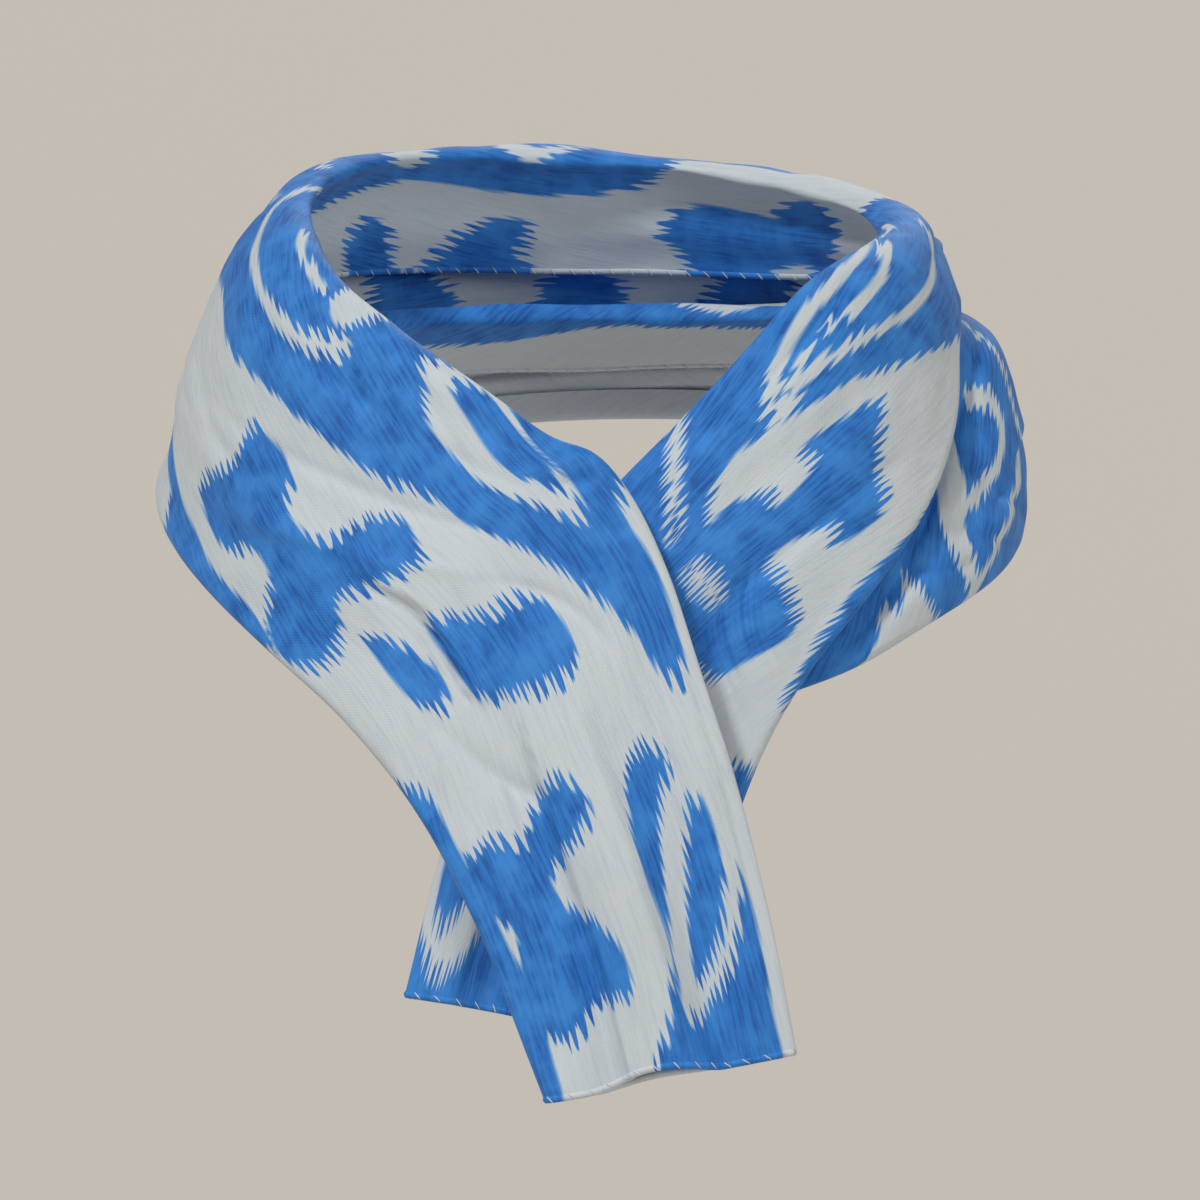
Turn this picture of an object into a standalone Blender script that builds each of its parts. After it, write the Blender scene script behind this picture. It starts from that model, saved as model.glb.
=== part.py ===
"""A light ikat scarf as it is worn: folded lengthwise into a band, wound twice round a neck
and crossed in front, with both ends lying flat on the chest.

Metres, +Z up. The wearer faces -Y. The origin is on the neck's axis, level with the neck's
base at its sides. Angles run round the neck from the throat, positive towards +X. An angle
goes on past a half turn instead of starting again, so a row's angle also says how far the
cloth has wound. The tables are in millimetres and degrees.
"""

import math
from collections import namedtuple

import bmesh
import bpy
from mathutils import Vector

MM = 0.001

# The folded cloth, as thick as its layers pressed flat, and the gap kept between two stretches.
CLOTH_THICKNESS = 1.4
SEAM_GAP = 0.5

# How finely the solids follow the folds: the spacing along the band, the steps in which the
# length of a stretch is measured, and the rows across it.
STEP_ALONG = 8.0
STEPS_MEASURED = 50
ROWS_INSIDE = 7
ROWS_OUTSIDE = 12
ROWS_TURNED_UNDER = 2

# The rows lie closer together near the crest, where the cloth bends most: in the outer layer,
# and more so in the inner one.
CLOSER_AT_CREST = 1.5
CLOSER_IN_HAIRPIN = 2.0

# A small step along the band, in rows, to find which way it runs.
NUDGE = 0.02

# By this share of the way down the inner layer lies its whole depth behind the outer one.
HAIRPIN_SHARE = 0.06

# The lower edge of a stretch is a fold, and its cloth turns under this far and this tightly.
TURN_UNDER_RADIUS = 1.8
TURN_UNDER_DEG = 130.0

# One section across the band. crest is the fold at its top, edge is the fold at its foot, each
# with its angle round the neck, its distance from the neck's axis and its height. roll and
# belly are how far the outer layer stands out from the straight line between them, near the
# crest and where it is fullest. inner_down is how far down the inner layer hangs, and
# inner_behind is how far behind the outer layer it lies.
Section = namedtuple(
    "Section",
    "crest_deg crest_out crest_up edge_deg edge_out edge_up roll belly inner_down inner_behind",
)

# A long soft fold: where along the turn it starts and ends, in rows, how far down from the
# crest it lies there, as a share of the way to the foot, how far it stands out, negative for
# a trough, and how wide it is, as a share too.
SoftFold = namedtuple("SoftFold", "start end down_start down_end stands_out width")

# A turn of the band: its sections, the share of the way down where its belly is fullest, and
# its soft folds.
Turn = namedtuple("Turn", "sections fullest folds")

# The second turn, from the end that lies on top, round the nape, to the end that lies beneath.
UPPER_TURN = Turn(
    sections=[
        Section(23.5, 108.0, -112.0, -6.0, 107.0, -122.0, 1.6, 1.0, 46.0, 3.5),
        Section(21.5, 104.0, -86.0, -9.5, 105.5, -106.0, 1.6, 1.2, 46.0, 3.5),
        Section(19.0, 99.5, -63.0, -13.0, 103.5, -91.0, 1.7, 1.6, 46.0, 3.5),
        Section(16.5, 95.5, -45.0, -17.0, 101.5, -78.0, 1.8, 2.0, 44.0, 3.5),
        Section(14.0, 91.5, -30.0, -21.0, 100.0, -66.5, 1.9, 2.4, 40.0, 3.8),
        Section(10.3, 85.5, -9.5, -26.0, 99.0, -55.5, 2.0, 2.8, 34.0, 4.2),
        Section(5.5, 79.5, 6.0, -31.5, 98.0, -46.5, 2.3, 3.2, 30.0, 4.6),
        Section(-0.8, 76.0, 16.6, -37.5, 97.5, -38.5, 2.6, 3.6, 28.0, 5.0),
        Section(-8.0, 75.0, 19.2, -44.0, 97.5, -32.0, 3.0, 3.8, 27.0, 5.4),
        Section(-18.5, 73.0, 28.0, -51.5, 97.5, -25.5, 3.6, 3.8, 27.0, 5.8),
        Section(-31.0, 70.5, 36.3, -60.0, 97.5, -18.5, 4.4, 3.6, 28.0, 6.2),
        Section(-48.0, 67.5, 45.0, -71.0, 97.0, -10.5, 5.6, 3.2, 29.0, 6.6),
        Section(-69.0, 66.0, 54.5, -85.0, 96.5, -1.0, 7.0, 2.6, 30.0, 7.0),
        Section(-93.0, 66.0, 64.0, -102.0, 95.0, 8.0, 8.0, 2.0, 31.0, 7.0),
        Section(-119.0, 66.0, 70.5, -123.0, 92.0, 16.0, 8.0, 2.0, 32.0, 7.0),
        Section(-149.0, 65.5, 71.5, -150.0, 89.0, 23.0, 7.5, 2.0, 32.0, 7.0),
        Section(-180.0, 65.5, 69.5, -180.0, 87.5, 27.0, 7.0, 2.0, 31.0, 7.0),
        Section(-211.0, 65.5, 66.5, -211.0, 86.5, 30.0, 7.0, 2.0, 28.0, 7.0),
        Section(-242.0, 65.0, 63.0, -240.0, 84.0, 36.5, 6.5, 1.5, 22.0, 7.0),
        Section(-267.0, 64.0, 60.0, -263.0, 81.5, 43.2, 5.5, 1.0, 16.0, 6.5),
        Section(-290.0, 63.5, 57.5, -278.5, 81.5, 35.5, 4.6, 1.2, 20.0, 6.5),
        Section(-309.0, 63.0, 53.0, -289.0, 84.5, 21.5, 3.8, 2.0, 24.0, 6.0),
        Section(-324.0, 64.5, 43.0, -300.0, 87.0, 7.5, 3.2, 2.6, 26.0, 5.5),
        Section(-337.0, 65.5, 30.5, -310.5, 88.5, -5.5, 2.8, 3.0, 28.0, 5.0),
        Section(-348.0, 67.0, 19.0, -320.0, 89.0, -17.5, 2.4, 3.0, 30.0, 4.6),
        Section(-357.5, 68.5, 8.0, -327.5, 88.5, -28.5, 2.2, 2.8, 32.0, 4.2),
        Section(-366.0, 71.0, -4.0, -333.0, 88.0, -39.5, 2.0, 2.4, 36.0, 3.8),
        Section(-372.0, 75.0, -18.0, -337.5, 88.5, -51.0, 1.9, 2.0, 42.0, 3.5),
        Section(-377.0, 80.5, -35.0, -341.5, 90.0, -64.0, 1.8, 1.6, 44.0, 3.5),
        Section(-380.5, 86.5, -55.0, -345.5, 92.0, -78.5, 1.7, 1.2, 46.0, 3.5),
        Section(-383.5, 92.0, -77.0, -349.5, 94.5, -93.5, 1.6, 1.0, 46.0, 3.5),
        Section(-386.0, 97.0, -101.0, -353.5, 97.0, -109.0, 1.6, 1.0, 46.0, 3.5),
    ],
    fullest=0.5,
    folds=[
        SoftFold(4.5, 12.5, 0.34, 0.42, -1.5, 0.10),
        SoftFold(6.0, 15.5, 0.70, 0.64, 1.3, 0.11),
        SoftFold(13.0, 20.0, 0.40, 0.50, -1.3, 0.10),
        SoftFold(20.5, 25.5, 0.60, 0.30, -1.4, 0.10),
    ],
)

# The first turn, which shows under the second at the sides and the nape.
LOWER_TURN = Turn(
    sections=[
        Section(-38.0, 78.0, -2.0, -38.0, 86.0, -38.0, 1.5, 1.5, 8.0, 3.5),
        Section(-60.0, 77.0, 18.0, -60.0, 89.0, -22.0, 1.5, 1.5, 14.0, 4.0),
        Section(-80.0, 76.0, 28.0, -80.0, 90.5, -10.0, 1.5, 1.0, 18.0, 4.5),
        Section(-100.0, 74.0, 33.0, -100.0, 91.0, -4.0, 1.5, 1.0, 20.0, 5.0),
        Section(-125.0, 70.0, 35.0, -125.0, 90.5, 1.0, 2.0, 2.0, 20.0, 5.0),
        Section(-152.0, 68.0, 35.0, -152.0, 90.0, 6.0, 2.0, 2.5, 20.0, 5.0),
        Section(-180.0, 67.0, 35.0, -180.0, 90.0, 8.5, 2.0, 3.3, 20.0, 5.0),
        Section(-208.0, 66.5, 35.5, -208.0, 90.7, 7.5, 2.5, 4.3, 20.0, 5.0),
        Section(-238.0, 67.0, 36.5, -238.0, 92.7, 1.0, 5.0, 5.0, 22.0, 5.5),
        Section(-266.0, 67.5, 38.0, -266.0, 95.0, -7.0, 9.0, 4.5, 24.0, 6.0),
        Section(-288.0, 66.5, 28.5, -288.0, 94.3, -15.0, 2.5, 6.2, 20.0, 5.5),
        Section(-306.0, 67.5, 7.5, -306.0, 91.0, -23.0, 1.5, 4.6, 16.0, 5.0),
        Section(-320.0, 68.5, -9.0, -320.0, 87.5, -31.0, 1.5, 2.2, 12.0, 4.5),
        Section(-332.0, 68.0, -19.0, -332.0, 81.5, -37.0, 1.5, 1.2, 8.0, 3.5),
    ],
    fullest=0.7,
    folds=[
        SoftFold(4.0, 9.0, 0.80, 0.72, -1.2, 0.10),
        SoftFold(8.5, 12.5, 0.66, 0.78, -1.4, 0.09),
    ],
)

# Each stretch that shows is one solid: its turn, and the rows between which it runs.
Stretch = namedtuple("Stretch", "name turn first last")
STRETCHES = [
    Stretch("end_on_top", UPPER_TURN, 0, 4),
    Stretch("front_on_top", UPPER_TURN, 4, 12),
    Stretch("nape_upper", UPPER_TURN, 12, 20),
    Stretch("front_beneath", UPPER_TURN, 20, 26),
    Stretch("end_beneath", UPPER_TURN, 26, 31),
    Stretch("side_lower_left", LOWER_TURN, 0, 4),
    Stretch("nape_lower", LOWER_TURN, 4, 8),
    Stretch("side_lower_right", LOWER_TURN, 8, 13),
]

CLOTH_BLUE = (0.036, 0.18, 0.55, 1.0)
CLOTH_ROUGHNESS = 0.75


def around_neck(degrees, out, up):
    """The point at an angle round the neck, a distance from its axis and a height."""
    turned = math.radians(degrees)
    return Vector((out * math.sin(turned), -out * math.cos(turned), up))


def section_at(turn, place):
    """The section at a place along the band, as a smooth curve through the rows beside it."""
    sections = turn.sections
    row = min(max(int(place), 0), len(sections) - 2)
    share = place - row
    before, here, after, later = (
        sections[min(max(row + k, 0), len(sections) - 1)] for k in (-1, 0, 1, 2)
    )
    values = []
    for a, b, c, d in zip(before, here, after, later, strict=True):
        slope_in, slope_out = (c - a) / 2, (d - b) / 2
        values.append(
            b
            + slope_in * share
            + (3 * (c - b) - 2 * slope_in - slope_out) * share**2
            + (2 * (b - c) + slope_in + slope_out) * share**3
        )
    return Section(*values)


def crest_of(section):
    return around_neck(section.crest_deg, section.crest_out, section.crest_up)


def edge_of(section):
    return around_neck(section.edge_deg, section.edge_out, section.edge_up)


def soft_fold(fold, place, down):
    """How far a soft fold lifts the outer layer at a place along the band and down from its
    crest."""
    reach = (place - fold.start) / (fold.end - fold.start)
    if not 0 < reach < 1:
        return 0.0
    middle = fold.down_start + (fold.down_end - fold.down_start) * reach
    across = math.exp(-(((down - middle) / fold.width) ** 2))
    return fold.stands_out * math.sin(math.pi * reach) * across


def section_points(turn, place):
    """The points across the band at a place along it, from the inner layer's free edge, over
    the crest, down the outer layer and under the fold at its foot."""
    section = section_at(turn, place)
    crest, edge = crest_of(section), edge_of(section)
    down = (edge - crest).normalized()
    near, far = section_at(turn, place - NUDGE), section_at(turn, place + NUDGE)
    along = (crest_of(far) + edge_of(far)) - (crest_of(near) + edge_of(near))
    outward = along.cross(down).normalized()
    belly_bend = math.log(0.5) / math.log(turn.fullest)

    def outer_point(share):
        stands_out = section.roll * math.sin(math.pi * math.sqrt(share))
        stands_out += section.belly * math.sin(math.pi * share**belly_bend)
        stands_out += sum(soft_fold(fold, place, share) for fold in turn.folds)
        return crest.lerp(edge, share) + stands_out * outward

    points = []
    for row in range(ROWS_INSIDE, 0, -1):
        share = (row / ROWS_INSIDE) ** CLOSER_IN_HAIRPIN
        share *= section.inner_down / (edge - crest).length
        rounded = math.sin(math.pi / 2 * min(1, math.sqrt(share / HAIRPIN_SHARE)))
        points.append(outer_point(share) - section.inner_behind * rounded * outward)
    for row in range(ROWS_OUTSIDE + 1):
        points.append(outer_point((row / ROWS_OUTSIDE) ** CLOSER_AT_CREST))
    leaving = (points[-1] - points[-2]).normalized()
    inwards = leaving.cross(along).normalized()
    for row in range(1, ROWS_TURNED_UNDER + 1):
        turned = math.radians(TURN_UNDER_DEG) * row / ROWS_TURNED_UNDER
        points.append(
            edge
            + TURN_UNDER_RADIUS * math.sin(turned) * leaving
            + TURN_UNDER_RADIUS * (1 - math.cos(turned)) * inwards
        )
    return points


def rows_per_mm(turn, place):
    """How many rows further along one millimetre is, where the section moves on least."""
    near, far = section_points(turn, place - NUDGE), section_points(turn, place + NUDGE)
    return 2 * NUDGE / min((b - a).length for a, b in zip(near, far, strict=True))


def places_along(turn, first, last):
    """Evenly spaced places along a stretch, set back from its neighbours by half the seam gap."""
    rows = [
        section_at(turn, first + (last - first) * k / STEPS_MEASURED)
        for k in range(STEPS_MEASURED + 1)
    ]
    length = max(
        sum((b - a).length for a, b in zip(points, points[1:]))
        for points in ([crest_of(row) for row in rows], [edge_of(row) for row in rows])
    )
    start, end = first, last
    if first > 0:
        start += SEAM_GAP / 2 * rows_per_mm(turn, first)
    if last < len(turn.sections) - 1:
        end -= SEAM_GAP / 2 * rows_per_mm(turn, last)
    steps = round(length / STEP_ALONG)
    return [start + (end - start) * k / steps for k in range(steps + 1)]


def cloth_material():
    material = bpy.data.materials.new("ikat_cloth")
    material.use_nodes = True
    shader = material.node_tree.nodes["Principled BSDF"]
    shader.inputs["Base Color"].default_value = CLOTH_BLUE
    shader.inputs["Roughness"].default_value = CLOTH_ROUGHNESS
    shader.inputs["Metallic"].default_value = 0.0
    return material


def add_stretch(stretch, material):
    """One stretch of the band as a solid wall of cloth, its outer face on the section's line."""
    mesh = bmesh.new()
    grid = [
        [mesh.verts.new(point * MM) for point in section_points(stretch.turn, place)]
        for place in places_along(stretch.turn, stretch.first, stretch.last)
    ]
    for line, following in zip(grid, grid[1:]):
        for a, b, c, d in zip(line, line[1:], following[1:], following):
            mesh.faces.new((a, b, c, d))
    data = bpy.data.meshes.new(stretch.name)
    mesh.to_mesh(data)
    mesh.free()
    data.materials.append(material)
    obj = bpy.data.objects.new(stretch.name, data)
    bpy.context.scene.collection.objects.link(obj)
    wall = obj.modifiers.new("cloth_wall", "SOLIDIFY")
    wall.thickness = CLOTH_THICKNESS * MM
    wall.offset = -1.0
    wall.use_even_offset = False
    data.shade_smooth()
    return obj


def main():
    for obj in list(bpy.data.objects):
        bpy.data.objects.remove(obj)
    material = cloth_material()
    for stretch in STRETCHES:
        add_stretch(stretch, material)


if __name__ == "__main__":
    main()
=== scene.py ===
"""A light ikat scarf as it is worn: one length of soft cloth, folded lengthwise into a band,
wound twice round a neck and crossed in front, with both ends lying flat on the chest.

Metres, +Z up, the wearer facing -Y. On each turn, laid out flat, s runs along the band from
its start and t down from the fold at its crest, both in millimetres; behind the crest t is
negative.
"""

import math
from collections import namedtuple

import bpy
import numpy as np
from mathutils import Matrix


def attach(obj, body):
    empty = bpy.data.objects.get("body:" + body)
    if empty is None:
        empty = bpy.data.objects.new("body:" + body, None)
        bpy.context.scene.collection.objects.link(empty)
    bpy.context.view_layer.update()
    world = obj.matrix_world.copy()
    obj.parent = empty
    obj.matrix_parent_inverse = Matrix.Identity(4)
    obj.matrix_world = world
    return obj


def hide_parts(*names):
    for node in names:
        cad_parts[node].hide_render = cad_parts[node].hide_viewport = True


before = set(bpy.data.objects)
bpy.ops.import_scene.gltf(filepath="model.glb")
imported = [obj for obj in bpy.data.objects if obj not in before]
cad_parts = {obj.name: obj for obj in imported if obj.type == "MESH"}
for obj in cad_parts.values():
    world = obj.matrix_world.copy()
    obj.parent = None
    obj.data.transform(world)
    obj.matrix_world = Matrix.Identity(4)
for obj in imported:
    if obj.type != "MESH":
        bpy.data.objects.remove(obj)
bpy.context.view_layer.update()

# The first turn of the band round the neck. It shows under the second one at the sides and the
# nape. It is the scarf's own cloth, folded lengthwise with its lower edge turned under, and
# nothing is sewn: the second turn holds it.

MM = 0.001
CLOTH_THICKNESS = 1.1
COLUMN_EVERY = 1.0
ROWS_BEHIND = 30
ROWS_IN_FRONT = 74
ROWS_UNDER = 9
CLOSER_AT_CREST = 1.2
TURN_UNDER_RADIUS = 1.8
TURN_UNDER_DEG = 195.0
TUCKED_IN = 5.0
HAIRPIN_SHARE = 0.06
SOFTENED_OVER = 3.5
MIDDLE_SHARE = 0.49

# How finely the form is worked out before even rows are laid on it.
PLACES_PER_SECTION = 60
INNER_POINTS = 70
OUTER_POINTS = 200
FOOT_POINTS = 16
TUCKED_POINTS = 5
INNER_CLOSER = 2
OUTER_CLOSER = 1.6

# One section across the band: the fold at its crest and the fold at its foot, each with its
# angle round the neck, its distance from the neck's axis and its height, how far the cloth
# stands out near the crest and at its belly, and how far down and behind the inner layer hangs.
Section = namedtuple(
    "Section",
    "crest_deg crest_out crest_up edge_deg edge_out edge_up roll belly inner_down inner_behind",
)

# A long soft fold, placed in rows of sections and in shares of the way down.
SoftFold = namedtuple("SoftFold", "start end down_start down_end stands_out width")

# A crease from one spot of the laid-out cloth to another, bowed sideways in its middle. It
# stands out as a ridge, or in, as a trough, where stands_out is negative.
Crease = namedtuple("Crease", "s t s_end t_end bow stands_out width")

# A line along which one fold of the cloth laps over the next: the cloth on the crest's side of
# it stands out, and falls away sharply at the line.
Lap = namedtuple("Lap", "s t s_end t_end bow stands_out width")

# A turn of the band: its sections, where its belly is fullest, its soft folds, creases and laps.
Turn = namedtuple("Turn", "sections fullest folds creases laps")

FIRST_TURN = Turn(
    sections=[
        Section(-38.0, 78.0, -2.0, -40.0, 86.0, -29.0, 1.5, 1.5, 8.0, 3.5),
        Section(-60.0, 77.0, 18.0, -60.0, 89.0, -22.0, 1.5, 1.5, 14.0, 4.0),
        Section(-80.0, 76.0, 28.0, -80.0, 90.5, -10.0, 1.5, 1.0, 18.0, 4.5),
        Section(-100.0, 74.0, 33.0, -100.0, 91.0, -4.0, 1.5, 1.0, 20.0, 5.0),
        Section(-125.0, 70.0, 35.0, -125.0, 90.5, 1.0, 2.0, 2.0, 20.0, 5.0),
        Section(-152.0, 68.0, 35.0, -152.0, 90.0, 6.0, 2.0, 2.5, 20.0, 5.0),
        Section(-180.0, 67.0, 35.0, -180.0, 90.0, 8.5, 2.0, 3.3, 20.0, 5.0),
        Section(-208.0, 66.5, 35.5, -208.0, 90.7, 7.5, 2.5, 4.3, 20.0, 5.0),
        Section(-238.0, 67.0, 36.5, -238.0, 92.7, 1.0, 5.0, 5.0, 22.0, 5.5),
        Section(-266.0, 67.5, 38.0, -266.0, 95.0, -7.0, 9.0, 4.5, 24.0, 6.0),
        Section(-288.0, 66.5, 28.5, -288.0, 94.3, -15.0, 2.5, 6.2, 20.0, 5.5),
        Section(-306.0, 67.5, 7.5, -306.0, 91.0, -23.0, 1.5, 4.6, 15.0, 6.0),
        Section(-320.0, 68.5, -9.0, -320.0, 87.5, -31.0, 1.5, 2.2, 11.0, 6.0),
        Section(-332.0, 68.0, -19.0, -332.0, 81.5, -37.0, 1.5, 1.2, 7.0, 4.5),
    ],
    fullest=0.7,
    folds=[
        SoftFold(4.0, 9.0, 0.80, 0.72, -1.2, 0.10),
        SoftFold(8.5, 12.5, 0.66, 0.78, -1.4, 0.09),
        SoftFold(8.1, 9.9, 0.26, 0.30, 6.0, 0.27),
    ],
    creases=[
        Crease(352, 60, 384, 20, 3, -0.6, 2.2),
        Crease(366, 58, 398, 26, 2, -0.5, 1.8),
        Crease(332, 13, 442, 27, 4, -0.8, 2.0),
        Crease(388, 46, 414, 22, 2, -0.5, 1.6),
        Crease(176, 40, 236, 30, -3, -0.5, 2.0),
        Crease(120, 38, 168, 34, 2, -0.4, 1.8),
        Crease(246, 42, 300, 36, 2, -0.5, 2.0),
        Crease(60, 34, 110, 38, -2, -0.4, 1.8),
    ],
    laps=[
        Lap(150, 30, 300, 28, -3, 0.7, 0.8),
        Lap(20, 22, 130, 30, 2, 0.6, 0.8),
        Lap(300, 50, 380, 40, -2, 0.6, 0.8),
    ],
)


def unit(vectors):
    return vectors / np.linalg.norm(vectors, axis=-1, keepdims=True)


def around_neck(degrees, out, up):
    """Points at angles round the neck, distances from its axis and heights."""
    turned = np.radians(degrees)
    return np.stack([out * np.sin(turned), -out * np.cos(turned), up], axis=-1)


def smooth_between(before, here, after, later, share):
    """A smooth curve from one row of values to the next, led by the rows beside them."""
    slope_in, slope_out = (after - before) / 2, (later - here) / 2
    return (
        here
        + slope_in * share
        + (3 * (after - here) - 2 * slope_in - slope_out) * share**2
        + (2 * (here - after) + slope_in + slope_out) * share**3
    )


def sections_at(turn, places):
    """The sections at places along the band."""
    table = np.array(turn.sections)
    last = len(table) - 1
    row = np.clip(places.astype(int), 0, last - 1)
    beside = (table[np.clip(row + k, 0, last)] for k in (-1, 0, 1, 2))
    return smooth_between(*beside, (places - row)[:, None]).T


def length_along(points):
    """How far along its own polyline each point lies, for polylines side by side."""
    steps = np.linalg.norm(np.diff(points, axis=-2), axis=-1)
    return np.concatenate([np.zeros_like(steps[..., :1]), np.cumsum(steps, axis=-1)], axis=-1)


# What is uneven in the cloth beside its creases: smooth random hills, how high and how far apart
# they are, their seed, and how they are drawn out along the band, slanted, and tilted to it.
Hills = namedtuple("Hills", "height apart seed along slant tilt")
DENTS_AND_WRINKLES = (
    Hills(0.7, 26, 3, 1, 0, 0),
    Hills(0.3, 11, 5, 1, 0, 0),
    Hills(0.5, 8, 12, 1 / 4, 1 / 5, 1 / 12),
    Hills(0.2, 4.5, 9, 1 / 3, -1 / 4, 0),
)
WAVES_AT_FOOT = Hills(0.7, 17, 8, 1, 0, 0)
FOOT_WAVES_FADE = 4
UNEVEN_ENDS = Hills(2.6, 17, 4, 0.3, 0, 0)
ENDS_REACH = 60.0
HILL_CELLS = 64
FIRST_CELL = 20


def hills(kind, s, t):
    """How high the hills of one kind stand at each spot."""
    heights = np.random.default_rng(kind.seed).uniform(-1, 1, (HILL_CELLS, HILL_CELLS))
    a = (s * kind.along + t * kind.slant) / kind.apart + FIRST_CELL
    b = (t - s * kind.tilt) / kind.apart + FIRST_CELL
    i, j = np.floor(a).astype(int), np.floor(b).astype(int)
    a, b = a - i, b - j
    a, b = a * a * (3 - 2 * a), b * b * (3 - 2 * b)
    i, j, next_i, next_j = (n % HILL_CELLS for n in (i, j, i + 1, j + 1))
    low = heights[i, j] * (1 - a) + heights[next_i, j] * a
    high = heights[i, next_j] * (1 - a) + heights[next_i, next_j] * a
    return kind.height * (low * (1 - b) + high * b)


# How creases and laps fade towards their ends and away from their line.
CREASED_BY = 2.0
CREASE_ENDS = 0.8
CREASE_SIDES = -1.5
LAP_REACH = 13.0
LAP_ENDS = 3
LAP_SHARP = 4
LARGEST_POWER = 50

# The cloth lies calmer close to its crest and its foot.
CALM_AT_CREST = 3.0
LEFT_AT_CREST = 0.3
CALM_AT_FOOT = 6.0
CALM_PAST_FOOT = 1.0


def crease_height(crease, s, t):
    """How far one crease or lap moves the cloth in or out."""
    run_s, run_t = crease.s_end - crease.s, crease.t_end - crease.t
    length = math.hypot(run_s, run_t)
    along = ((s - crease.s) * run_s + (t - crease.t) * run_t) / length**2
    across = ((t - crease.t) * run_s - (s - crease.s) * run_t) / length
    reach = np.clip(along, 0, 1)
    across = across - crease.bow * np.sin(math.pi * reach)
    if isinstance(crease, Lap):
        fade = np.clip(np.sin(math.pi * reach) * LAP_ENDS, 0, 1)
        power = np.clip(LAP_SHARP * across / crease.width, -LARGEST_POWER, LARGEST_POWER)
        falls = np.exp(np.minimum(across, 0) / LAP_REACH) / (1 + np.exp(power))
        return crease.stands_out * fade * falls
    fade = np.sin(math.pi * reach) ** CREASE_ENDS
    return crease.stands_out * fade * (1 + (across / crease.width) ** 2) ** CREASE_SIDES


def smoothed_along(lines, spread):
    """The points with small kinks along the band smoothed away, its two ends kept in place."""
    reach = int(3 * spread)
    weights = np.exp(-0.5 * (np.arange(-reach, reach + 1) / spread) ** 2)
    weights /= weights.sum()
    before = 2 * lines[:1] - lines[reach:0:-1]
    after = 2 * lines[-1:] - lines[-2 : -reach - 2 : -1]
    longer = np.concatenate([before, lines, after])
    return sum(w * longer[k : k + len(lines)] for k, w in enumerate(weights))


Band = namedtuple("Band", "points normals s t places width")


def grid_normals(points):
    along = np.gradient(points, axis=0)
    across = np.gradient(points, axis=1)
    return unit(np.cross(along, across))


def outer_layer(turn, places, share):
    """The outer layer's points at shares of the way down from the crest, and the way out."""
    sections = sections_at(turn, places)
    crest, edge = around_neck(*sections[:3]), around_neck(*sections[3:6])
    roll, belly = sections[6:8, :, None]
    down = unit(edge - crest)
    outward = unit(np.cross(np.gradient(crest + edge, axis=0), down))[:, None]
    bend = math.log(0.5) / math.log(turn.fullest)
    stands_out = roll * np.sin(math.pi * np.sqrt(share))
    stands_out = stands_out + belly * np.sin(math.pi * share**bend)
    for fold in turn.folds:
        reach = np.clip((places - fold.start) / (fold.end - fold.start), 0, 1)[:, None]
        middle = fold.down_start + (fold.down_end - fold.down_start) * reach
        across = np.exp(-(((share - middle) / fold.width) ** 2))
        stands_out = stands_out + fold.stands_out * np.sin(math.pi * reach) * across
    points = crest[:, None] + share[..., None] * (edge - crest)[:, None]
    return points + stands_out[..., None] * outward, outward


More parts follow.
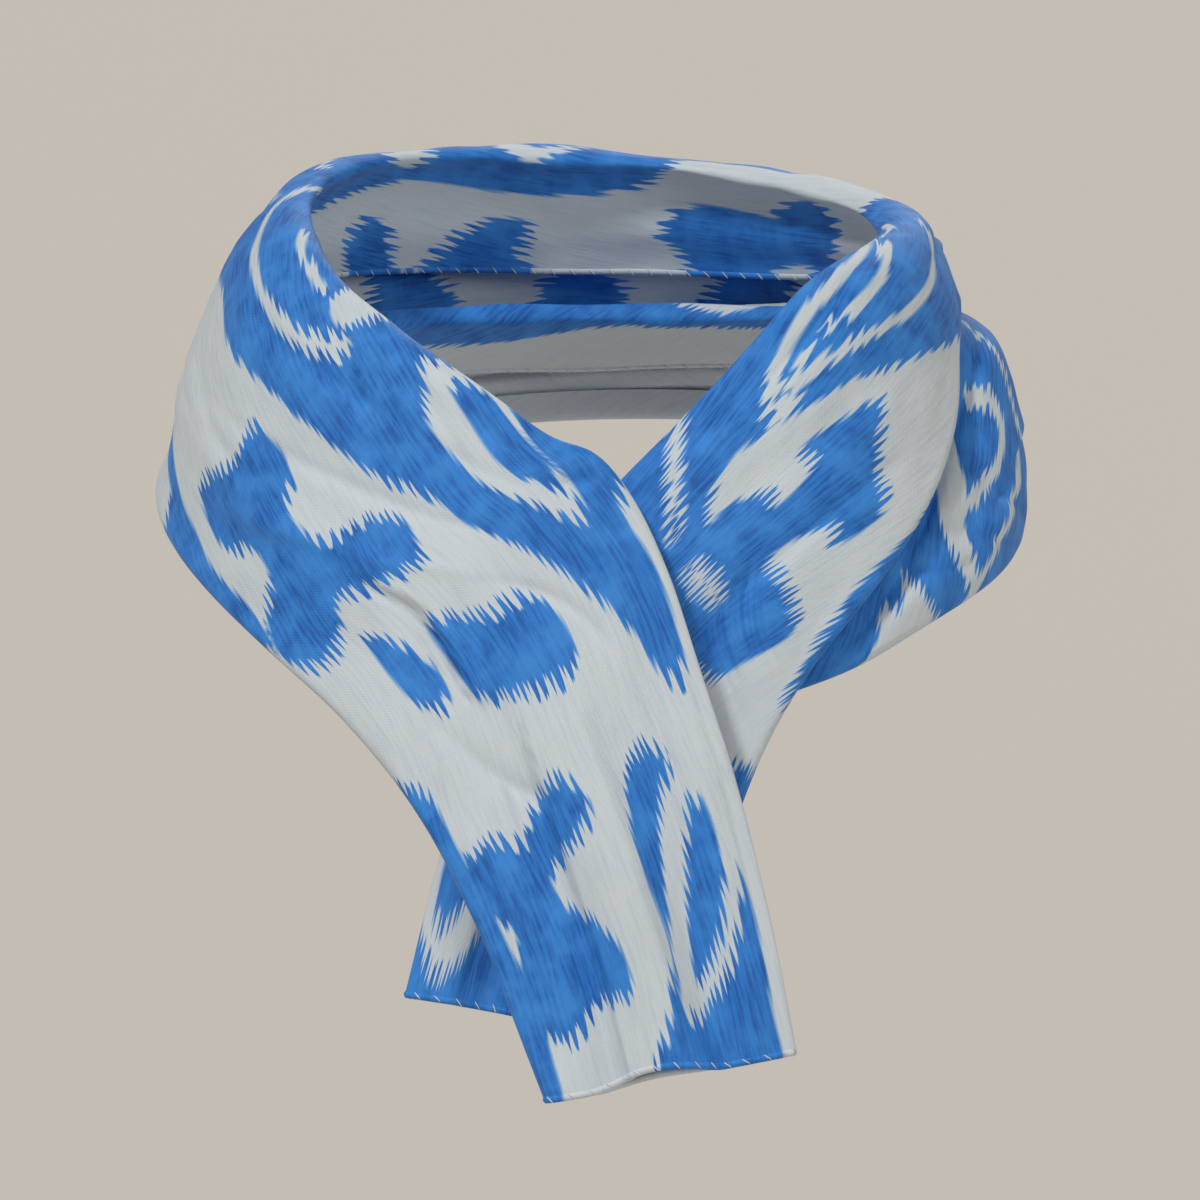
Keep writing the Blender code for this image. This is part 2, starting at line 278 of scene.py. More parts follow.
def lay_band(turn, cuts):
    """The whole turn as a grid of points on the cloth's outer face: a column for each place
    along it, with a place at each cut, and rows from the inner layer's free edge over the
    crest, down the outer layer and under the fold at its foot."""
    last = len(turn.sections) - 1
    fine = np.linspace(0, last, PLACES_PER_SECTION * last + 1)
    middle, _ = outer_layer(turn, fine, np.full((len(fine), 1), MIDDLE_SHARE))
    fine_s = length_along(middle[:, 0])
    cut_s = np.interp(cuts, fine, fine_s)
    s = [np.zeros(1)]
    for start, end in zip(cut_s, cut_s[1:]):
        s.append(np.linspace(start, end, round((end - start) / COLUMN_EVERY) + 1)[1:])
    s = np.concatenate(s)
    places = np.interp(s, fine_s, fine)

    sections = sections_at(turn, places)
    crest, edge = around_neck(*sections[:3]), around_neck(*sections[3:6])
    inner_down, inner_behind = sections[8:10, :, None]
    width = np.linalg.norm(edge - crest, axis=-1, keepdims=True)
    behind = (np.linspace(1, 0, INNER_POINTS)[:-1] ** INNER_CLOSER)[None, :] * inner_down / width
    rounded = np.sin(math.pi / 2 * np.minimum(1, np.sqrt(behind / HAIRPIN_SHARE)))
    inner, outward = outer_layer(turn, places, behind)
    inner = inner - (inner_behind * rounded)[..., None] * outward
    down = np.linspace(0, 1, OUTER_POINTS) ** OUTER_CLOSER
    outer, _ = outer_layer(turn, places, np.broadcast_to(down, (len(s), OUTER_POINTS)))
    leaving = unit(outer[:, -1] - outer[:, -2])[:, None]
    inwards = unit(np.cross(leaving, np.gradient(edge, axis=0)[:, None]))
    turned = np.radians(np.linspace(0, TURN_UNDER_DEG, FOOT_POINTS))[None, 1:, None]
    under = (
        edge[:, None]
        + TURN_UNDER_RADIUS * np.sin(turned) * leaving
        + TURN_UNDER_RADIUS * (1 - np.cos(turned)) * inwards
    )
    tucked = under[:, -1:] + unit(under[:, -1:] - under[:, -2:-1]) * (
        TUCKED_IN * np.linspace(0, 1, TUCKED_POINTS)[None, 1:, None]
    )
    lines = smoothed_along(
        np.concatenate([inner, outer, under, tucked], axis=1), SOFTENED_OVER / COLUMN_EVERY
    )

    here = length_along(lines)
    at_crest = here[:, inner.shape[1]][:, None]
    at_foot = here[:, inner.shape[1] + outer.shape[1] - 1][:, None]
    rows_behind = 1 - np.linspace(1, 0, ROWS_BEHIND + 1)[None, :-1] ** CLOSER_AT_CREST
    rows_front = np.linspace(0, 1, ROWS_IN_FRONT + 1)[None] ** CLOSER_AT_CREST
    rows_under = np.linspace(0, 1, ROWS_UNDER + 1)[None, 1:]
    rows = np.concatenate(
        [
            at_crest * rows_behind,
            at_crest + (at_foot - at_crest) * rows_front,
            at_foot + (here[:, -1:] - at_foot) * rows_under,
        ],
        axis=1,
    )
    points = np.empty((len(s), rows.shape[1], 3))
    for column in range(len(s)):
        for axis in range(3):
            points[column, :, axis] = np.interp(
                rows[column], here[column], lines[column, :, axis]
            )
    t = rows - at_crest
    s_grid = np.broadcast_to(s[:, None], t.shape)
    full = at_foot - at_crest

    height = CREASED_BY * sum(
        crease_height(crease, s_grid, t) for crease in [*turn.creases, *turn.laps]
    )
    for kind in DENTS_AND_WRINKLES:
        height = height + hills(kind, s_grid, t)
    near_foot = np.clip(t / full, 0, 1) ** FOOT_WAVES_FADE
    height = height + hills(WAVES_AT_FOOT, s_grid, 0 * t) * near_foot
    height = height * np.clip((full + CALM_PAST_FOOT - t) / CALM_AT_FOOT, 0, 1)
    height = height * np.clip(np.abs(t) / CALM_AT_CREST, LEFT_AT_CREST, 1)
    points = points + height[..., None] * grid_normals(points)
    from_end = np.minimum(s_grid, s[-1] - s_grid)
    pulled = hills(UNEVEN_ENDS, s_grid, t) * np.clip(1 - from_end / ENDS_REACH, 0, 1) ** 2
    points = points + pulled[..., None] * unit(np.gradient(points, axis=0))
    return Band(points, grid_normals(points), s_grid, t, places, full[:, 0])


# The cloth's threads run askew to the band, because it was folded out of true. A Run says for
# each spot how far along its thread it lies, where across the threads, and the step along the
# thread that the dye has crept; on the first turn it has crept less.
Run = namedtuple("Run", "along across step_s step_t")
LEAN = 1.7
LESS_CREPT = 0.55


def threads_of_first_turn(s, t):
    size = math.hypot(LEAN, 1.0)
    along, across = (LEAN * s + t) / size, (s - LEAN * t) / size
    crept = LESS_CREPT / size
    return Run(along, across, np.full_like(s, LEAN * crept), np.full_like(s, crept))


# The print. Each patch is a rounded outline on the laid-out cloth, each line a brush line with
# a width at each of its points. Later ones lie over earlier ones.
Patch = namedtuple("Patch", "colour points")
Line = namedtuple("Line", "colour points")
BLUE, WHITE = 1.0, -1.0
PRINT_REACH = 6.0
CURVE_STEPS = 5
FAR = 1e9
TINY = 1e-9


def rounded_curve(points, closed):
    """A smooth curve through the points, and through any widths that they carry."""
    table = np.array(points, dtype=float)
    count = len(table)
    spans = count if closed else count - 1
    curve = []
    for k in range(spans):
        near = [k - 1, k, k + 1, k + 2]
        near = [n % count if closed else min(max(n, 0), count - 1) for n in near]
        for step in range(CURVE_STEPS):
            curve.append(smooth_between(*table[near], step / CURVE_STEPS))
    if not closed:
        curve.append(table[-1])
    return np.array(curve)


def inside_by(shape, s, t):
    """How far inside a shape of the print each spot lies, in millimetres."""
    closed = isinstance(shape, Patch)
    curve = rounded_curve(shape.points, closed)
    deep = np.full(s.shape, -PRINT_REACH)
    ends = np.roll(curve, -1, axis=0) if closed else curve[1:]
    starts = curve if closed else curve[:-1]
    margin = PRINT_REACH if closed else PRINT_REACH + curve[:, 2].max()
    near = (s > curve[:, 0].min() - margin) & (s < curve[:, 0].max() + margin)
    near &= (t > curve[:, 1].min() - margin) & (t < curve[:, 1].max() + margin)
    if not near.any():
        return deep
    x, y = s[near], t[near]
    best = np.full(x.shape, FAR if closed else -PRINT_REACH)
    inside = np.zeros(x.shape, dtype=bool)
    for start, end in zip(starts, ends):
        run = end - start
        length = max(run[0] ** 2 + run[1] ** 2, TINY)
        share = np.clip(((x - start[0]) * run[0] + (y - start[1]) * run[1]) / length, 0, 1)
        away = np.hypot(x - start[0] - share * run[0], y - start[1] - share * run[1])
        if closed:
            best = np.minimum(best, away)
            crosses = (start[1] > y) != (end[1] > y)
            level = start[0] + (y - start[1]) * run[0] / (run[1] or TINY)
            inside ^= crosses & (x < level)
        else:
            best = np.maximum(best, (start[2] + share * run[2]) / 2 - away)
    deep[near] = np.where(inside, best, -best) if closed else best
    return np.maximum(deep, -PRINT_REACH)


def dyed(shapes, s, t):
    """How deep in blue each spot of the cloth lies, in millimetres; negative in white."""
    blue_by = np.full(s.shape, -PRINT_REACH)
    for shape in shapes:
        by = inside_by(shape, s, t)
        blue_by = np.maximum(blue_by, by) if shape.colour == BLUE else np.minimum(blue_by, -by)
    return np.clip(blue_by, -PRINT_REACH, PRINT_REACH)


def moved(shapes, along=0.0, down=0.0, mirror_at=None, flip_at=None):
    """The same shapes further along and down, mirrored end for end or upside down."""
    result = []
    for shape in shapes:
        points = []
        for s, t, *width in shape.points:
            s = 2 * mirror_at - s if mirror_at is not None else s
            t = 2 * flip_at - t if flip_at is not None else t
            points.append((s + along, t + down, *width))
        result.append(shape._replace(points=points))
    return result


# The shapes that repeat through the print: a branching blob, an eye with a white outline and a
# hook, each about the point (0, 0).
BLOB = [
    Patch(BLUE, [
        (-26, -7), (-19, -12), (-12, -8), (-8, 2), (0, 1), (6, -5), (15, -10), (26, -10),
        (25, -1), (31, 7), (24, 14), (10, 15), (0, 14), (-8, 20), (-19, 22), (-22, 13), (-18, 6),
        (-24, 1),
    ]),
]
EYE = [
    Patch(WHITE, [
        (-20, 4), (-12, -6), (0, -12), (13, -14), (24, -11), (30, -5), (22, 1), (8, 5),
        (-6, 7), (-16, 8),
    ]),
    Patch(BLUE, [(-14, 2), (-5, -6), (8, -10), (20, -9), (20, -5), (8, -1), (-5, 2)]),
]
HOOK = [
    Line(WHITE, [
        (20, -18, 1.5), (31, -10, 2.5), (36, 0, 2.2), (30, 8, 2.4), (18, 12, 2.6),
        (4, 13, 3), (-4, 8, 4), (-7, 0, 3.5),
    ]),
    Line(WHITE, [(4, 3, 2.6), (14, 0, 2), (18, -6, 1.8), (13, -10, 1.6)]),
]

FIRST_PRINT = [
    Patch(BLUE, [
        (-10, -10), (20, -8), (60, -12), (100, -6), (140, -10), (180, -12), (220, -6),
        (260, -8), (300, -12), (330, -14), (380, -16), (420, -12), (480, -8), (480, 80),
        (420, 84), (350, 78), (326, 62), (318, 44), (326, 26), (318, 14), (290, 10),
        (262, 16), (236, 24), (205, 22), (180, 14), (150, 12), (120, 20), (92, 24),
        (60, 18), (30, 12), (0, 16), (-10, 16),
    ]),
    Patch(BLUE, [(-10, 42), (30, 40), (70, 44), (100, 52), (110, 90), (-10, 90)]),
    *moved(BLOB, 40, 32),
    *moved(BLOB, 135, 34, mirror_at=0),
    *moved(BLOB, 285, 34, mirror_at=0),
    *moved(EYE, 235, 12),
    *moved(EYE, 90, 10, mirror_at=0),
    Line(WHITE, [
        (340, -6, 1.8), (343, 6, 1.8), (346, 14, 1.8), (348, 24, 1.8), (350, 34, 2), (353, 41, 2.2),
        (358, 44.5, 2.4), (370, 46.5, 2.4), (388, 48, 2.2), (402, 50, 2),
    ]),
    Line(WHITE, [
        (365, 22, 4.5), (360, 28, 4), (362, 33.5, 2.8), (369, 36, 2.8), (376, 36, 3),
        (383, 34.5, 3.4), (388, 33, 2.4),
    ]),
    Patch(WHITE, [
        (376, 22), (387, 24), (395, 28), (397, 34), (396, 40), (395, 50), (391, 50),
        (391, 41), (387, 34), (381, 29),
    ]),
    Patch(WHITE, [
        (408, 46), (410, 36), (413, 27), (417, 32), (422, 27), (426, 32), (431, 33),
        (438, 35), (452, 36), (452, 44), (430, 42), (418, 48),
    ]),
    Line(WHITE, [(335, 4, 1.6), (350, 8, 2.4), (362, 4, 2.4), (372, -6, 2)]),
]

# Each spot keeps the print's depth here and up to 3 mm along its thread, both ways, so that the
# dye can creep in the material.
SHIFTS = (-3, -2, -1, 0, 1, 2, 3)
DYE_LAYERS = [f"dye_{number}" for number in range(len(SHIFTS))]


def keep_print(mesh, shapes, run, s, t, sides):
    """Keeps the print's depths on the mesh, once for each side of the cloth that it has."""
    for shift, layer_name in zip(SHIFTS, DYE_LAYERS):
        depth = dyed(shapes, s + shift * run.step_s, t + shift * run.step_t).ravel()
        layer = mesh.attributes.new(layer_name, "FLOAT", "POINT")
        layer.data.foreach_set("value", np.tile(depth, sides).astype(np.float32))


def placed(name, data):
    """An object at the origin with this mesh, light or camera."""
    obj = bpy.data.objects.new(name, data)
    bpy.context.scene.collection.objects.link(obj)
    return obj


def add_cloth(name, band, first, last, shapes, threads):
    """One stretch of the band as a thin closed shell of cloth, with the print's depths and the
    threads' run kept on it."""
    start = int(np.abs(band.places - first).argmin())
    end = int(np.abs(band.places - last).argmin()) + 1
    outer, normals = band.points[start:end], band.normals[start:end]
    s, t = band.s[start:end], band.t[start:end]
    columns, rows = s.shape
    points = np.concatenate([outer, outer - CLOTH_THICKNESS * normals]).reshape(-1, 3)
    number = np.arange(columns * rows).reshape(columns, rows)
    back = number + columns * rows

    def quads(a, b, c, d):
        return np.stack([a, b, c, d], axis=-1).reshape(-1, 4)

    faces = np.concatenate([
        quads(number[:-1, :-1], number[1:, :-1], number[1:, 1:], number[:-1, 1:]),
        quads(back[:-1, :-1], back[:-1, 1:], back[1:, 1:], back[1:, :-1]),
        quads(number[1:, 0], number[:-1, 0], back[:-1, 0], back[1:, 0]),
        quads(number[:-1, -1], number[1:, -1], back[1:, -1], back[:-1, -1]),
        quads(number[0, :-1], number[0, 1:], back[0, 1:], back[0, :-1]),
        quads(number[-1, 1:], number[-1, :-1], back[-1, :-1], back[-1, 1:]),
    ])
    mesh = bpy.data.meshes.new(name)
    mesh.from_pydata((points * MM).tolist(), [], faces.tolist())
    mesh.polygons.foreach_set("use_smooth", [True] * len(faces))
    corner = faces.ravel()
    both = np.concatenate([normals.reshape(-1, 3), -normals.reshape(-1, 3)])
    corner_normals = both[corner]
    rim = faces[2 * (columns - 1) * (rows - 1) :]
    rim_normals = unit(np.cross(
        points[rim[:, 2]] - points[rim[:, 0]], points[rim[:, 3]] - points[rim[:, 1]]
    ))
    corner_normals[-rim.size :] = np.repeat(rim_normals, 4, axis=0)
    mesh.normals_split_custom_set(corner_normals)

    run = threads(s, t)
    keep_print(mesh, shapes, run, s, t, 2)
    place = np.stack([run.along.ravel(), run.across.ravel()], axis=-1) * MM
    place = np.concatenate([place, place])[corner]
    layer = mesh.uv_layers.new(name="threads")
    layer.data.foreach_set("uv", place.astype(np.float32).ravel())
    mesh.materials.append(CLOTH)
    return placed(name, mesh)


# The cloth's material: blue dye that has crept along single threads, on an off-white plain
# weave with a faint sheen.
WHITE_YARN = (0.56, 0.615, 0.65)
STAINED_YARN = (0.44, 0.54, 0.63)
TINTED_YARN = (0.25, 0.42, 0.66)
BLUE_YARN = (0.019, 0.178, 0.58)
DEEP_YARN = (0.010, 0.10, 0.39)
BRIGHT_YARN = (0.045, 0.265, 0.73)

# How the dye creeps along the threads, in millimetres and in how many there are to one.
WANDER_PER_MM, WANDERS_BY = 0.05, 1.6
TEETH_PER_MM, TEETH_UNEVEN, TOOTH_WIDE = 0.7, 0.8, 0.55
TEETH_BACK, TEETH_OUT = -2.2, 2.6
LONGER_PER_MM, LONGER_BY = 0.16, 2.0
FRAY_PER_MM, FRAYS_BY = 2.2, 4.4
TINTED_FROM, TINTED_TO = -0.45, 0.1
DYED_FROM, DYED_TO = -0.1, 0.6

# Streaks of single yarns, clouds in the dye bath, and the weave.
STREAK_ALONG, STREAK_ACROSS = 0.09, 1.3
DEEP_STREAKS = (0.40, 0.64)
STAINED_STREAKS, MOST_STAINED = (0.46, 0.74), 0.6
CLOUDS_PER_METRE = 110.0
BRIGHT_CLOUDS, MOST_BRIGHT = (0.36, 0.70), 0.7
WEAVE_EVERY = 0.5
RIBS_HIGH, WEAVE_HIGH = 1.2, 0.35
BUMP_STRENGTH, BUMP_DEPTH = 0.5, 0.0002
CLOTH_ROUGH, CLOTH_SPECULAR = 0.62, 0.3
SHEEN, SHEEN_ROUGH = 0.09, 0.4


def linked(tree, kind, inputs=(), **settings):
    """A node with its settings made and its inputs set, or linked where a socket is given."""
    node = tree.nodes.new(kind)
    for name, value in settings.items():
        setattr(node, name, value)
    for key, value in dict(inputs).items():
        if isinstance(value, bpy.types.NodeSocket):
            tree.links.new(value, node.inputs[key])
        else:
            node.inputs[key].default_value = value
    return node


def worked_out(tree, operation, *values, clamped=False):
    node = linked(
        tree, "ShaderNodeMath", enumerate(values), operation=operation, use_clamp=clamped
    )
    return node.outputs[0]


def mixed(tree, share, one, other):
    """A mix of two colours, each given as a triple or a socket."""
    one, other = ((*c, 1.0) if isinstance(c, tuple) else c for c in (one, other))
    inputs = {0: share, 6: one, 7: other}
    return linked(tree, "ShaderNodeMix", inputs, data_type="RGBA").outputs[2]


def noise(tree, **inputs):
    """A noise along one line of yarns, given W, or over the cloth, given a Vector."""
    dimensions = "1D" if "W" in inputs else "2D"
    return linked(tree, "ShaderNodeTexNoise", inputs, noise_dimensions=dimensions).outputs[0]


def ranged(tree, value, low, high, to_low=0.0, to_high=1.0, kind="LINEAR"):
    """The value's run from low to high, turned into a run from to_low to to_high."""
    return linked(
        tree, "ShaderNodeMapRange", {0: value, 1: low, 2: high, 3: to_low, 4: to_high},
        interpolation_type=kind,
    ).outputs[0]


def new_material(name):
    """A material, its tree and its shader's inputs."""
    material = bpy.data.materials.new(name)
    material.use_nodes = True
    return material, material.node_tree, material.node_tree.nodes["Principled BSDF"].inputs


def ikat_cloth():
    material, tree, shader = new_material("ikat_cloth")
    threads = linked(tree, "ShaderNodeAttribute", attribute_name="threads").outputs["Vector"]
    parts = linked(tree, "ShaderNodeSeparateXYZ", {0: threads}).outputs
    along, across = (worked_out(tree, "MULTIPLY", parts[k], 1 / MM) for k in (0, 1))

    wandered = worked_out(tree, "MULTIPLY", along, WANDER_PER_MM)
    wander = noise(tree, W=wandered, Scale=1.0, Detail=1.0)
    yarn = worked_out(tree, "MULTIPLY_ADD", wander, WANDERS_BY, across)
    comb = linked(
        tree, "ShaderNodeTexVoronoi",
        {"W": yarn, "Scale": TEETH_PER_MM, "Randomness": TEETH_UNEVEN},
        voronoi_dimensions="1D",
    ).outputs["Distance"]
    teeth = ranged(tree, comb, 0.0, TOOTH_WIDE, TEETH_BACK, TEETH_OUT, "SMOOTHSTEP")
    longer = noise(tree, W=yarn, Scale=LONGER_PER_MM, Detail=1.0)
    fray = noise(tree, W=yarn, Scale=FRAY_PER_MM, Detail=3.0)
    shift = worked_out(tree, "MULTIPLY", teeth, worked_out(tree, "MULTIPLY", longer, LONGER_BY))
    frayed = worked_out(tree, "MULTIPLY_ADD", fray, FRAYS_BY, -FRAYS_BY / 2)
    shift = worked_out(tree, "ADD", shift, frayed)
    shift = worked_out(tree, "MAXIMUM", shift, float(SHIFTS[0]))
    shift = worked_out(tree, "MINIMUM", shift, float(SHIFTS[-1]))
    depth = 0.0
    for step, layer_name in zip(SHIFTS, DYE_LAYERS):
        value = linked(tree, "ShaderNodeAttribute", attribute_name=layer_name).outputs["Fac"]
        away = worked_out(tree, "ABSOLUTE", worked_out(tree, "SUBTRACT", shift, float(step)))
        share = worked_out(tree, "SUBTRACT", 1.0, away, clamped=True)
        depth = worked_out(tree, "MULTIPLY_ADD", share, value, depth)

    streaks = linked(tree, "ShaderNodeCombineXYZ", {
        0: worked_out(tree, "MULTIPLY", along, STREAK_ALONG),
        1: worked_out(tree, "MULTIPLY", across, STREAK_ACROSS),
    }).outputs[0]
    streak = noise(tree, Vector=streaks, Scale=1.0, Detail=3.0)
    cloudy = noise(tree, Vector=threads, Scale=CLOUDS_PER_METRE, Detail=3.0)
    blue = mixed(tree, ranged(tree, streak, *DEEP_STREAKS), BLUE_YARN, DEEP_YARN)
    bright = ranged(tree, cloudy, *BRIGHT_CLOUDS, 0.0, MOST_BRIGHT)
    blue = mixed(tree, bright, blue, BRIGHT_YARN)
    stained = ranged(tree, streak, *STAINED_STREAKS, 0.0, MOST_STAINED)
    white = mixed(tree, stained, WHITE_YARN, STAINED_YARN)
    tinted = ranged(tree, depth, TINTED_FROM, TINTED_TO, kind="SMOOTHSTEP")
    colour = mixed(tree, tinted, white, TINTED_YARN)
    dyed_through = ranged(tree, depth, DYED_FROM, DYED_TO, kind="SMOOTHSTEP")
    colour = mixed(tree, dyed_through, colour, blue)
    tree.links.new(colour, shader["Base Color"])

    waves = []
    for way in (along, across):
        turned = worked_out(tree, "MULTIPLY", way, 2 * math.pi / WEAVE_EVERY)
        waves.append(worked_out(tree, "SINE", turned))
    crossing = worked_out(tree, "MULTIPLY", *waves)
    weave = worked_out(tree, "MULTIPLY", crossing, WEAVE_HIGH)
    ribs = worked_out(tree, "MULTIPLY_ADD", streak, RIBS_HIGH, weave)
    bump = linked(
        tree, "ShaderNodeBump", {"Height": ribs, "Strength": BUMP_STRENGTH, "Distance": BUMP_DEPTH}
    )
    tree.links.new(bump.outputs[0], shader["Normal"])
    shader["Roughness"].default_value = CLOTH_ROUGH
    shader["Specular IOR Level"].default_value = CLOTH_SPECULAR
    shader["Sheen Weight"].default_value = SHEEN
    shader["Sheen Roughness"].default_value = SHEEN_ROUGH
    return material


CLOTH = ikat_cloth()

# The narrow hem along the scarf's edges, rolled by hand and held with small slanted stitches.
HEM_RADIUS = 0.9
STITCH_EVERY = 4.5
STITCH_LENGTH = 2.2
STITCH_RADIUS = 0.16
STITCH_SEED = 4
STITCH_SLANT = (0.5, 0.95)
STITCH_ALONG = 0.7
HEM_SIDES = 10
STITCH_SIDES, STITCH_RINGS = 6, 5
# The sewing thread is one white. These two tones of it are a painted shade and a painted highlight,
# laid in bands along its twist.
THREAD_PAINTED_SHADE = (0.50, 0.53, 0.55)
THREAD_PAINTED_HIGHLIGHT = (0.66, 0.68, 0.69)
TWISTS_PER_METRE = 900.0
THREAD_ROUGH = 0.55


def sewing_thread():
    material, tree, shader = new_material("sewing_thread")
    place = linked(tree, "ShaderNodeTexCoord").outputs["Object"]
    # Bands along the twist: painted highlight on the plies and painted shade in the grooves between
    # them.
    twist_shading = linked(
        tree, "ShaderNodeTexWave",
        {"Vector": place, "Scale": TWISTS_PER_METRE, "Distortion": 1.0},
        bands_direction="DIAGONAL",
    ).outputs["Fac"]
    colour = mixed(tree, twist_shading, THREAD_PAINTED_SHADE, THREAD_PAINTED_HIGHLIGHT)
    tree.links.new(colour, shader["Base Color"])
    shader["Roughness"].default_value = THREAD_ROUGH
    return material


def rolled_hem():
    """Rolls a hem along a line of points and sews it down with slanted stitches."""
    tree = bpy.data.node_groups.new("rolled_hem", "GeometryNodeTree")
    sockets = tree.interface
    sockets.new_socket("Geometry", in_out="INPUT", socket_type="NodeSocketGeometry")
    for name, size in (
        ("Hem radius", HEM_RADIUS),
        ("Stitch every", STITCH_EVERY),
        ("Stitch length", STITCH_LENGTH),
        ("Stitch radius", STITCH_RADIUS),
    ):
        socket = sockets.new_socket(name, in_out="INPUT", socket_type="NodeSocketFloat")
        socket.default_value = size * MM
    for name in ("Cloth", "Sewing thread"):
        sockets.new_socket(name, in_out="INPUT", socket_type="NodeSocketMaterial")
    sockets.new_socket("Geometry", in_out="OUTPUT", socket_type="NodeSocketGeometry")
    given = tree.nodes.new("NodeGroupInput").outputs

    def made(kind, inputs, output=0, **settings):
        return linked(tree, kind, inputs, **settings).outputs[output]

    line = made("GeometryNodeMeshToCurve", {"Mesh": given["Geometry"]})
    profile = made(
        "GeometryNodeCurvePrimitiveCircle",
        {"Resolution": HEM_SIDES, "Radius": given["Hem radius"]},
    )
    roll = made(
        "GeometryNodeCurveToMesh", {"Curve": line, "Profile Curve": profile, "Fill Caps": True}
    )
    roll = made("GeometryNodeSetMaterial", {"Geometry": roll, "Material": given["Cloth"]})

    dotted = linked(
        tree, "GeometryNodeCurveToPoints",
        {"Curve": line, "Length": given["Stitch every"]}, mode="LENGTH",
    ).outputs
    out = made(
        "GeometryNodeInputNamedAttribute", {"Name": "hem_out"}, data_type="FLOAT_VECTOR"
    )

    def vectors(operation, *values):
        return made("ShaderNodeVectorMath", enumerate(values), operation=operation)

    def scaled(vector, size):
        return made("ShaderNodeVectorMath", {"Vector": vector, "Scale": size}, operation="SCALE")

    slant = made(
        "FunctionNodeRandomValue",
        {"Min": STITCH_SLANT[0], "Max": STITCH_SLANT[1], "Seed": STITCH_SEED},
        1,
        data_type="FLOAT",
    )
    across = scaled(vectors("CROSS_PRODUCT", dotted["Tangent"], out), slant)
    turned = made(
        "FunctionNodeAlignRotationToVector",
        {"Vector": vectors("ADD", scaled(dotted["Tangent"], STITCH_ALONG), across)},
        axis="Z",
    )
    lifted = made(
        "GeometryNodeSetPosition",
        {"Geometry": dotted["Points"], "Offset": scaled(out, given["Hem radius"])},
    )
    stitch = made(
        "GeometryNodeMeshUVSphere",
        {"Segments": STITCH_SIDES, "Rings": STITCH_RINGS, "Radius": 1.0},
        "Mesh",
    )
    size = made("ShaderNodeCombineXYZ", {
        0: given["Stitch radius"],
        1: given["Stitch radius"],
        2: worked_out(tree, "MULTIPLY", given["Stitch length"], 0.5),
    })
    stitches = made(
        "GeometryNodeInstanceOnPoints",
        {"Points": lifted, "Instance": stitch, "Rotation": turned, "Scale": size},
    )
    stitches = made("GeometryNodeRealizeInstances", {0: stitches})
    stitches = made(
        "GeometryNodeSetMaterial", {"Geometry": stitches, "Material": given["Sewing thread"]}
    )
    both = tree.nodes.new("GeometryNodeJoinGeometry")
    tree.links.new(roll, both.inputs[0])
    tree.links.new(stitches, both.inputs[0])
    linked(tree, "NodeGroupOutput", {"Geometry": both.outputs[0]})
    return tree


HEM_TREE = rolled_hem()
SEWING_THREAD = sewing_thread()


def add_hem(name, band, spots, shapes, threads):
    """The rolled hem along spots of the band, each a column and a row of its grid."""
    columns, rows = spots
    out = band.normals[columns, rows]
    s, t = band.s[columns, rows], band.t[columns, rows]
    points = (band.points[columns, rows] - CLOTH_THICKNESS / 2 * out) * MM
    mesh = bpy.data.meshes.new(name)
    mesh.from_pydata(points.tolist(), [(k, k + 1) for k in range(len(points) - 1)], [])
    run = threads(s, t)
    keep_print(mesh, shapes, run, s, t, 1)
    place = np.stack([run.along, run.across, 0 * s], axis=-1) * MM
    for attribute, vectors in (("threads", place), ("hem_out", out)):
        layer = mesh.attributes.new(attribute, "FLOAT_VECTOR", "POINT")
        layer.data.foreach_set("vector", vectors.astype(np.float32).ravel())
    piece = placed(name, mesh)
    roll = piece.modifiers.new("rolled_hem", "NODES")
    roll.node_group = HEM_TREE
    materials = {"Cloth": CLOTH, "Sewing thread": SEWING_THREAD}
    for socket in HEM_TREE.interface.items_tree:
        if socket.name in materials:
            roll[socket.identifier] = materials[socket.name]
    shown = piece.evaluated_get(bpy.context.evaluated_depsgraph_get())
    sewn = bpy.data.meshes.new_from_object(shown)
    piece.modifiers.clear()
    piece.data = sewn
    sewn.polygons.foreach_set("use_smooth", [True] * len(sewn.polygons))
    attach(piece, "root")
    return piece


def along_inner_edge(band):
    """The spots along the inner layer's free edge."""
    columns = np.arange(len(band.places))
    return columns, np.zeros_like(columns)


def round_whole_edge(band):
    """The spots round one end, along the inner layer's free edge and round the other end."""
    columns, rows = band.t.shape
    down = np.arange(rows)
    along = np.arange(1, columns - 1)
    return (
        np.concatenate([0 * down, along, 0 * down + columns - 1]),
        np.concatenate([down[::-1], 0 * along, down]),
    )


def finish_cloth(piece, node):
    """Fastens a stretch to the root and hides the solid that it stands for."""
    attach(piece, "root")
    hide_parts(node)


first_band = lay_band(FIRST_TURN, [0, 4, 8, 13])
first_hem = add_hem(
    "first_turn_hem", first_band, along_inner_edge(first_band), FIRST_PRINT,
    threads_of_first_turn,
)
for node, first, last, hems in (
    ("side_lower_left", 0, 4, []),
    ("nape_lower", 4, 8, [first_hem]),
    ("side_lower_right", 8, 13, []),
):
    piece = add_cloth(
        node + "_cloth", first_band, first, last, FIRST_PRINT, threads_of_first_turn
    )
    finish_cloth(piece, node)

# The second turn, from the end that lies on top, round the nape, to the end that lies beneath.
# It is the same length of cloth, carried on round the neck over the first turn and crossed at
# the throat, where it holds by its own folds.

